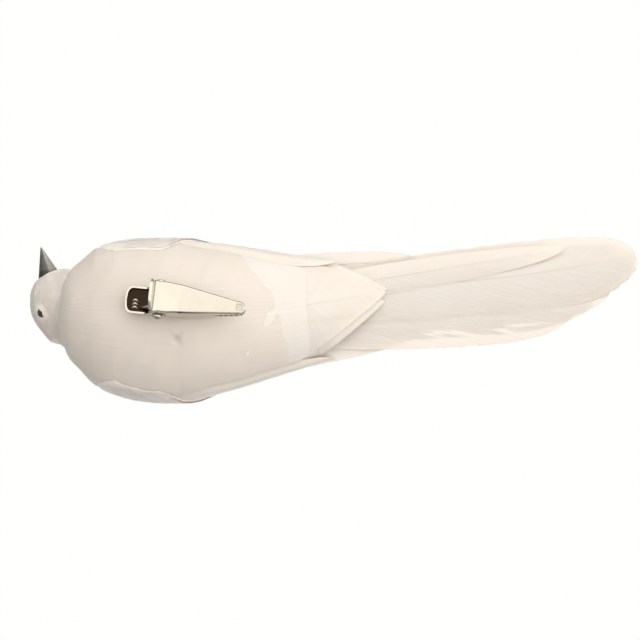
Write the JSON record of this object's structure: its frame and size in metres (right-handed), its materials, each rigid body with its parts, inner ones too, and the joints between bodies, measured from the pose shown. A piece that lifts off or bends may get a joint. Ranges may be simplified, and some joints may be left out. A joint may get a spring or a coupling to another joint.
{
  "type": "clip-on artificial bird ornament",
  "caption": "Small white feathered dove with folded wings and a long tail, its head turned, glued to a sprung metal clip for fixing to a stem or branch.",
  "frame": {"origin": "grip point of the clip, midway between its jaws and among their teeth, where a stem or twig is held", "axes": "+X towards the bird's tail, +Z the bird's up, -Y the bird's left; the clip hangs under the belly on the -Z side"},
  "size_m": [0.1791, 0.0488, 0.0595],
  "materials": {
    "feather": "satin",
    "short_feather": "matte",
    "foam": "matte",
    "peg": "matte",
    "beak": "satin",
    "eye": "gloss",
    "glue": "satin",
    "clip_steel": "polished",
    "pin_steel": "satin"
  },
  "bodies": {
    "bird": {"foam_body": "foam", "belly_cover": "short_feather", "back_cover": "short_feather", "skin_pin": "pin_steel", "foam_head": "foam", "head_cover": "short_feather", "neck_ruff": "short_feather", "neck_peg": "peg", "beak": "beak", "eye_right": "eye", "eye_left": "eye", "wing_left_coverts": "feather", "wing_left_secondary_1": "feather", "wing_left_secondary_2": "feather", "wing_left_primary_1": "feather", "wing_left_primary_2": "feather", "wing_left_primary_3": "feather", "wing_right_coverts": "feather", "wing_right_secondary_1": "feather", "wing_right_secondary_2": "feather", "wing_right_primary_1": "feather", "wing_right_primary_2": "feather", "wing_right_primary_3": "feather", "tail_feather_1": "feather", "tail_feather_2": "feather", "tail_feather_3": "feather", "tail_feather_4": "feather", "tail_feather_5": "feather", "tail_feather_6": "feather", "tail_feather_7": "feather", "tail_feather_8": "feather", "undertail_covert_1": "feather", "undertail_covert_2": "feather", "undertail_covert_3": "feather", "uppertail_covert_1": "feather", "uppertail_covert_2": "feather", "uppertail_covert_3": "feather", "tail_plug": "glue", "clip_fixed_jaw": "clip_steel", "hinge_pin": "pin_steel", "torsion_spring": "pin_steel", "glue_pad": "glue"},
    "clip_jaw": {"clip_moving_jaw": "clip_steel"}
  },
  "joints": [
    {"name": "jaw_hinge", "type": "hinge", "parent": "bird", "child": "clip_jaw", "pos_m": [-0.01986, -0.0024, -0.00165], "axis": [-0.0964, 0.9655, -0.2419], "range_deg": [0, 35], "stiffness_Nm_per_rad": 0.04, "springref_deg": -68.75, "deforming": ["torsion_spring"]}
  ]
}
